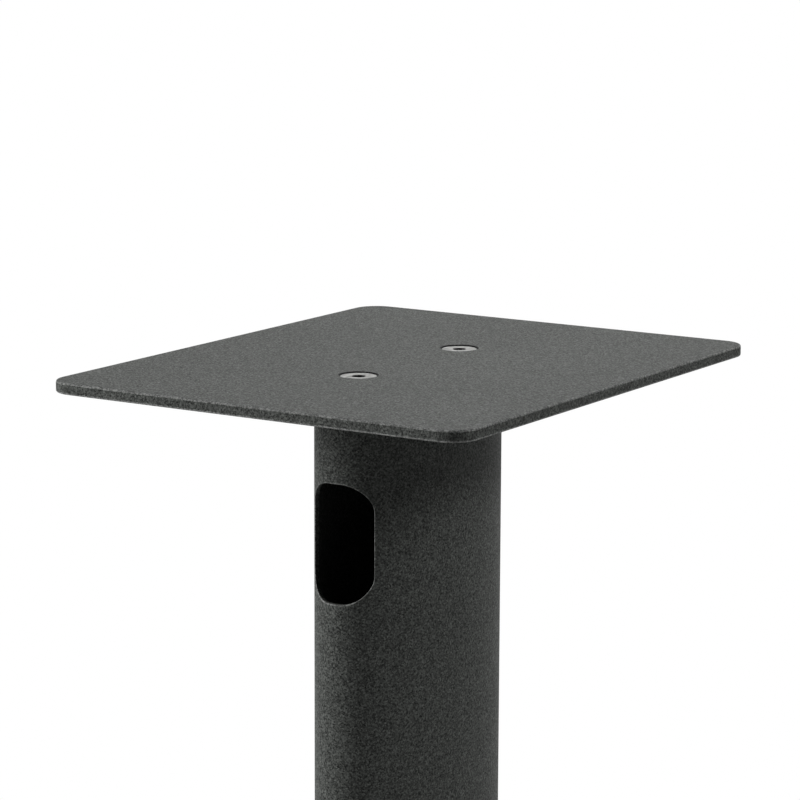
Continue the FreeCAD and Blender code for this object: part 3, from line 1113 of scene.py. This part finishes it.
@dataclass(frozen=True)
class HexSocket:
    """A broached hexagonal socket with a chamfered mouth."""

    flats: float
    depth: float
    chamfer_steps: int = 4

    def levels(self) -> list[tuple[Ring, float]]:
        """Gives the socket's rings from its bottom to its mouth.

        Returns:
            Pairs of a ring, whose own height isn't used, and its depth.
        """
        corner = self.flats / math.sqrt(3)
        mouth = corner + 0.15 * MM
        flat = self.flats / 2
        point = 0.22 * self.flats
        found = [(Ring(0.0, 0.0), self.depth + point * 0.5),
                 (Ring(0.8 * flat, 0.0), self.depth),
                 (Ring(flat, 0.0, self.flats, bore=True), self.depth)]
        for step in range(self.chamfer_steps + 1):
            share = step / self.chamfer_steps
            radius = flat + (mouth - flat) * share
            found.append((Ring(radius, 0.0, self.flats, bore=True), mouth - radius))
        found[-1] = (Ring(mouth, 0.0), 0.0)
        return found


@dataclass(frozen=True)
class CountersunkScrew:
    """A countersunk machine screw with a hexagonal socket."""

    name: str
    place: Point
    faces: Side
    rim: float = 7.75 * MM
    rim_height: float = 0.22 * MM
    shank: float = 3.95 * MM
    tip: float = 0.8 * MM
    socket: HexSocket = HexSocket(5 * MM, 3 * MM)
    segments: int = 72

    def build(self, zinc: Material) -> Object:
        """Makes the screw where its solid is.

        Args:
            zinc: Its plating.

        Returns:
            The piece.
        """
        low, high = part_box(self.name)
        way = self.faces.value
        face = high.z if way > 0 else low.z
        length = high.z - low.z
        rings = [Ring(ring.radius, face - way * depth, ring.flats, ring.bore)
                 for ring, depth in self.socket.levels()]
        soften = 0.12 * MM
        head = [(self.rim - soften, 0.0), (self.rim - soften / 3, soften / 3), (self.rim, soften),
                (self.rim, self.rim_height), (self.shank, self.rim_height + self.rim - self.shank)]
        rings += [Ring(radius, face - way * depth) for radius, depth in head]
        thread = Thread()
        start = head[-1][1] + 0.6 * MM
        end = length - self.tip
        levels = thread.levels(start, end)
        rings += [Ring(ring.radius, face - way * ring.height) for ring in levels]
        rings += [Ring(self.shank - self.tip, face - way * length), Ring(0.0, face - way * length)]
        blank = turn_rings(rings, self.place, self.segments)
        ends = sorted((face - way * (start + thread.margin), face - way * (end - thread.margin)))
        mesh = thread.cut(blank, self.place, (ends[0], ends[1]), zinc)
        return add_piece(mesh, f"{self.name}_plated", zinc, "stand", Slot.ZINC, self.name)


@dataclass(frozen=True)
class Screws:
    """The four screws that hold the plates to the column."""

    reach: float = SCREW_REACH

    def build(self) -> list[Object]:
        """Makes all four.

        Returns:
            The pieces.
        """
        pieces = []
        for level, faces in (("top", Side.UP), ("base", Side.DOWN)):
            for end, sign in (("front", 1), ("rear", -1)):
                name = f"{level}_screw_{end}"
                place = (0.0, sign * self.reach)
                low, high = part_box(name)
                face = high.z if faces is Side.UP else low.z
                zinc = ZincPlate(f"zinc_{name}", place, face, faces, gap_reach=7.3 * MM).material()
                pieces.append(CountersunkScrew(name, place, faces).build(zinc))
        return pieces


# Feet.


@dataclass(frozen=True)
class HexBody:
    """A hexagon whose corners are cut by a cone at both ends."""

    flats: float = 13 * MM
    fall: float = 0.62 * MM
    face_share: float = 0.97
    steps: int = 5

    def levels(self, bottom: float, top: float) -> list[Ring]:
        """Gives its rings from bottom to top.

        Args:
            bottom: The height of the lower face.
            top: The height of the upper face.

        Returns:
            The rings.
        """
        corner = self.flats / math.sqrt(3)
        start = self.flats / 2 * self.face_share
        shares = [step / self.steps for step in range(self.steps + 1)]
        lower = [Ring(start + (corner - start) * share, bottom + self.fall * share, self.flats)
                 for share in shares]
        upper = [Ring(ring.radius, top + bottom - ring.height, self.flats)
                 for ring in reversed(lower)]
        return lower + upper


@dataclass(frozen=True)
class LevellingFoot:
    """A nylon glide on a rubber pad, the stud that turns in it, and its lock nut."""

    corner: str
    place: Point
    pad_radius: float = 17 * MM
    hexagon: HexBody = HexBody()
    socket: HexSocket = HexSocket(4 * MM, 5 * MM)
    grooves: tuple[float, ...] = (4.5 * MM, 8.5 * MM, 12.5 * MM)
    segments: int = 96
    # The glide's outline is in millimetres, from its axis and from the floor.
    glide_foot: tuple[Point, ...] = (
        (0.0, 3.0), (17.2, 3.0), (17.2, 2.15), (17.35, 2.0), (19.4, 2.0), (19.75, 2.1),
        (19.93, 2.3), (20.0, 2.65), (20.0, 4.9), (19.9, 5.35), (19.6, 5.75))
    glide_waist: Point = (12.5, 11.2)
    glide_neck: tuple[Point, ...] = (
        (12.35, 11.45), (12.1, 11.75), (11.7, 11.94), (11.3, 12.0), (6.65, 12.0), (6.4, 11.9),
        (6.25, 11.6), (6.25, 9.0), (8.05, 9.0), (8.05, 6.0), (0.0, 6.0))
    glide_sag: float = 0.10
    glide_steps: int = 12

    def build(self, nylon: Material, rubber: Material) -> list[Object]:
        """Makes the foot's four pieces.

        Args:
            nylon: The glide's material.
            rubber: The pad's material.

        Returns:
            The pieces.
        """
        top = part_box(f"foot_stud_{self.corner}")[1].z
        zinc = ZincPlate(f"zinc_foot_{self.corner}", self.place, top,
                         socket_reach=2.4 * MM).material()
        return [self.build_pad(rubber), self.build_glide(nylon),
                self.build_stud(zinc), self.build_nut(zinc)]

    def build_pad(self, rubber: Material) -> Object:
        """Makes the pad, with grooves in its tread.

        Args:
            rubber: Its material.

        Returns:
            The piece.
        """
        name = f"foot_pad_{self.corner}"
        low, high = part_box(name)
        width, depth, slant = 1.2 * MM, 0.6 * MM, 0.15 * MM
        edge = 0.5 * MM
        rings = [Ring(0.0, low.z)]
        for radius in self.grooves:
            rings += [Ring(radius, low.z), Ring(radius + slant, low.z + depth),
                      Ring(radius + width - slant, low.z + depth), Ring(radius + width, low.z)]
        rings += [Ring(self.pad_radius - inset, low.z + edge - rise)
                  for inset, rise in reversed(quarter_round(edge, 4))]
        rings += [Ring(self.pad_radius, high.z), Ring(0.0, high.z)]
        mesh = turn_rings(rings, self.place, self.segments)
        return add_piece(mesh, f"{name}_rubber", rubber, f"foot_{self.corner}", Slot.RUBBER, name)

    def build_glide(self, nylon: Material) -> Object:
        """Makes the bell-shaped glide, with the pocket that holds the stud's flange.

        Args:
            nylon: Its material.

        Returns:
            The piece.
        """
        name = f"foot_glide_{self.corner}"
        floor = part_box(name)[0].z - 2 * MM
        outline = list(self.glide_foot)
        wide, narrow = self.glide_foot[-1], self.glide_waist
        for step in range(1, self.glide_steps):
            share = step / self.glide_steps
            bend = share - self.glide_sag * math.sin(share * math.pi)
            outline.append((wide[0] + (narrow[0] - wide[0]) * share,
                            wide[1] + (narrow[1] - wide[1]) * bend))
        outline += self.glide_neck
        rings = [Ring(radius * MM, floor + height * MM) for radius, height in outline]
        mesh = turn_rings(rings, self.place, self.segments)
        return add_piece(mesh, f"{name}_moulded", nylon, f"foot_{self.corner}", Slot.NYLON, name)

    def build_stud(self, zinc: Material) -> Object:
        """Makes the stud, from its flange to the socket in its top.

        Args:
            zinc: Its plating.

        Returns:
            The piece.
        """
        name = f"foot_stud_{self.corner}"
        low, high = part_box(name)
        flange = 8 * MM
        flange_top = low.z + 2.95 * MM
        neck = 6.2 * MM
        collar = low.z + 6.6 * MM
        collar_top = collar + 4.6 * MM
        edge = 0.2 * MM
        tip = 0.7 * MM
        thread = Thread()
        root = thread.outside - thread.depth
        start = collar_top + 0.5 * MM
        end = high.z - tip
        foot = low.z + 2 * SLIVER
        rings = [Ring(0.0, foot), Ring(flange - edge, foot), Ring(flange, foot + edge),
                 Ring(flange, flange_top - edge), Ring(flange - edge, flange_top),
                 Ring(neck, flange_top), Ring(neck, collar)]
        rings += self.hexagon.levels(collar, collar_top)
        rings += [Ring(root, collar_top), Ring(root, start - edge)]
        rings += thread.levels(start, end)
        rings.append(Ring(thread.outside - tip, high.z))
        rings += [Ring(ring.radius, high.z - depth, ring.flats, ring.bore)
                  for ring, depth in reversed(self.socket.levels())]
        blank = turn_rings(rings, self.place, self.segments)
        mesh = thread.cut(blank, self.place, (start + thread.margin, end - thread.margin), zinc)
        return add_piece(mesh, f"{name}_plated", zinc, f"stud_{self.corner}", Slot.ZINC, name)

    def build_nut(self, zinc: Material) -> Object:
        """Makes the lock nut.

        Args:
            zinc: Its plating.

        Returns:
            The piece.
        """
        name = f"lock_nut_{self.corner}"
        low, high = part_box(name)
        bore = 4.0 * MM
        mouth = 4.6 * MM
        rings = [Ring(mouth, low.z)] + self.hexagon.levels(low.z, high.z)
        rings += [Ring(mouth, high.z), Ring(bore, high.z - (mouth - bore)),
                  Ring(bore, low.z + (mouth - bore))]
        mesh = turn_rings(rings, self.place, self.segments, closed=True)
        return add_piece(mesh, f"{name}_plated", zinc, f"nut_{self.corner}", Slot.ZINC, name)


@dataclass(frozen=True)
class Feet:
    """The four levelling feet."""

    reach: Point = FOOT_REACH

    def build(self, nylon: Material, rubber: Material) -> list[Object]:
        """Makes all four.

        Args:
            nylon: The glides' material.
            rubber: The pads' material.

        Returns:
            The pieces.
        """
        pieces = []
        for depth, sign_y in (("front", 1), ("rear", -1)):
            for side, sign_x in (("left", -1), ("right", 1)):
                place = (sign_x * self.reach[0], sign_y * self.reach[1])
                pieces += LevellingFoot(f"{depth}_{side}", place).build(nylon, rubber)
        return pieces


# Studio.


def look_from(azimuth: float, elevation: float) -> Vector:
    """Gives the way to a lamp or camera.

    Args:
        azimuth: Degrees from the rear, -Y, towards +X.
        elevation: Degrees above level.

    Returns:
        The direction, of length 1.
    """
    turn, tilt = math.radians(azimuth), math.radians(elevation)
    level = math.cos(tilt)
    return Vector((math.sin(turn) * level, -math.cos(turn) * level, math.sin(tilt)))


@dataclass(frozen=True)
class SoftBox:
    """A large soft lamp that looks at a height on the stand's axis."""

    name: str
    azimuth: float
    elevation: float
    distance: float
    aim: float
    width: float
    height: float
    power: float

    def build(self) -> Object:
        """Makes the lamp.

        Returns:
            The lamp.
        """
        lamp = bpy.data.lights.new(self.name, "AREA")
        lamp.shape = "RECTANGLE"
        lamp.size = self.width
        lamp.size_y = self.height
        lamp.energy = self.power
        away = look_from(self.azimuth, self.elevation)
        box = bpy.data.objects.new(self.name, lamp)
        box.rotation_euler = (-away).to_track_quat("-Z", "Y").to_euler()
        box.location = Vector((0.0, 0.0, self.aim)) + away * self.distance
        bpy.context.scene.collection.objects.link(box)
        return box


@dataclass(frozen=True)
class Studio:
    """Plain pale floor, white surroundings and soft lamps."""

    floor_size: float = 30.0
    near: float = 0.45
    far: float = 1.05
    fill: float = 0.025
    lamps: tuple[SoftBox, ...] = (
        SoftBox("overhead", 0.0, 90.0, 1.9, 0.5, 1.6, 1.6, 3.0),
        SoftBox("left_box", -50.0, 18.0, 1.6, 0.5, 0.5, 0.5, 30.0),
        SoftBox("right_box", 112.0, 32.0, 1.6, 0.6, 0.7, 0.3, 14.0),
        SoftBox("far_box", 200.0, 45.0, 1.8, 0.5, 1.2, 0.8, 16.0),
    )

    def white_to_camera(self, graph: Graph) -> NodeSocket:
        """Tells whether a ray comes from the camera or a mirror-like bounce.

        Args:
            graph: The node tree.

        Returns:
            1 for such a ray, else 0.
        """
        path = graph.add("ShaderNodeLightPath").outputs
        either = graph.math("MAXIMUM", path["Is Camera Ray"], path["Is Glossy Ray"])
        return graph.math("MAXIMUM", either, path["Is Transmission Ray"])

    def build(self) -> None:
        """Makes the floor, the world and the lamps."""
        world = bpy.data.worlds.new("surroundings")
        world.use_nodes = True
        world.node_tree.nodes.clear()
        graph = Graph(world.node_tree)
        seen = self.white_to_camera(graph)
        strength = graph.add("ShaderNodeMix", {"data_type": "FLOAT"}, {
            0: seen, 2: self.fill, 3: 1.0})
        shade = graph.add("ShaderNodeBackground", {}, {
            "Color": (1.0, 1.0, 1.0, 1.0), "Strength": strength.outputs[0]})
        graph.add("ShaderNodeOutputWorld", {}, {"Surface": shade.outputs["Background"]})
        bpy.context.scene.world = world
        mesh = bpy.data.meshes.new("floor")
        half = self.floor_size / 2
        mesh.from_pydata([(-half, -half, 0), (half, -half, 0), (half, half, 0), (-half, half, 0)],
                         [], [(0, 1, 2, 3)])
        mesh.materials.append(self.floor_material())
        floor = bpy.data.objects.new("floor", mesh)
        bpy.context.scene.collection.objects.link(floor)
        for lamp in self.lamps:
            lamp.build()

    def floor_material(self) -> Material:
        """Writes the floor: pale near the stand, plain white to the camera far off.

        Returns:
            The material.
        """
        surface = Surface("floor")
        distance = surface.vector("LENGTH", surface.place, output="Value")
        away = surface.spread(distance, (self.near, self.far))
        white = surface.add("ShaderNodeEmission", {}, {"Color": (1, 1, 1, 1), "Strength": 1.0})
        mask = surface.math("MULTIPLY", away, self.white_to_camera(surface))
        surface.shader.inputs["Base Color"].default_value = (0.80, 0.80, 0.80, 1.0)
        surface.fix(Roughness=0.75, Specular_IOR_Level=0.2)
        surface.emboss((surface.noise(3 * MM, detail=3.0), 0.05 * MM))
        both = surface.add("ShaderNodeMixShader", {}, {
            0: mask, 1: surface.shader.outputs["BSDF"], 2: white.outputs["Emission"]})
        surface.tree.links.new(both.outputs["Shader"], surface.output.inputs["Surface"])
        return surface.material


@dataclass(frozen=True)
class Viewpoint:
    """The camera, aimed as the photograph was."""

    target: Size = (0.0, 0.0, 0.620)
    azimuth: float = 32.337
    elevation: float = 10.596
    roll: float = 0.2
    distance: float = 1.341
    to_right: float = -4.435 * MM
    to_top: float = -16.92 * MM
    lens: float = 139.1

    def build(self) -> Object:
        """Makes the scene's camera.

        Returns:
            The camera.
        """
        turn, roll = math.radians(self.azimuth), math.radians(self.roll)
        back = look_from(self.azimuth, self.elevation)
        level = Vector((math.cos(turn), math.sin(turn), 0.0))
        upright = back.cross(level)
        right = level * math.cos(roll) + upright * math.sin(roll)
        top = upright * math.cos(roll) - level * math.sin(roll)
        place = (Vector(self.target) + back * self.distance
                 + right * self.to_right + top * self.to_top)
        lens = bpy.data.cameras.new("camera")
        lens.lens = self.lens
        lens.sensor_width = 36.0
        lens.clip_end = 100.0
        camera = bpy.data.objects.new("camera", lens)
        facing = Matrix((right, top, back)).transposed().to_4x4()
        camera.matrix_world = Matrix.Translation(place) @ facing
        bpy.context.scene.collection.objects.link(camera)
        bpy.context.scene.camera = camera
        return camera


def dress_inserts(steel: Material) -> None:
    """Gives the two inserts, whose solids stay, their finish.

    Args:
        steel: The finish.
    """
    for name in ("top_insert", "base_insert"):
        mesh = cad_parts[name].data
        mesh.materials.clear()
        mesh.materials.append(steel)
        LOG.info("%s keeps its solid", name)


def main() -> None:
    """Builds the stand, its studio and its camera."""
    logging.basicConfig(level=logging.INFO, format="%(message)s")
    coat = PowderCoat().material()
    steel = BareSteel(Slot.STEEL.value).material()
    Viewpoint().build()
    Plates().build(coat)
    Column().build(coat)
    WeldBeads().build(BareSteel("weld_steel", (0.16, 0.155, 0.15), (0.34, 0.33, 0.32)).material())
    Screws().build()
    Feet().build(MouldedNylon().material(), PadRubber().material())
    dress_inserts(steel)
    Studio().build()
    bpy.context.scene.view_settings.view_transform = "Standard"


if __name__ == "__main__":
    main()
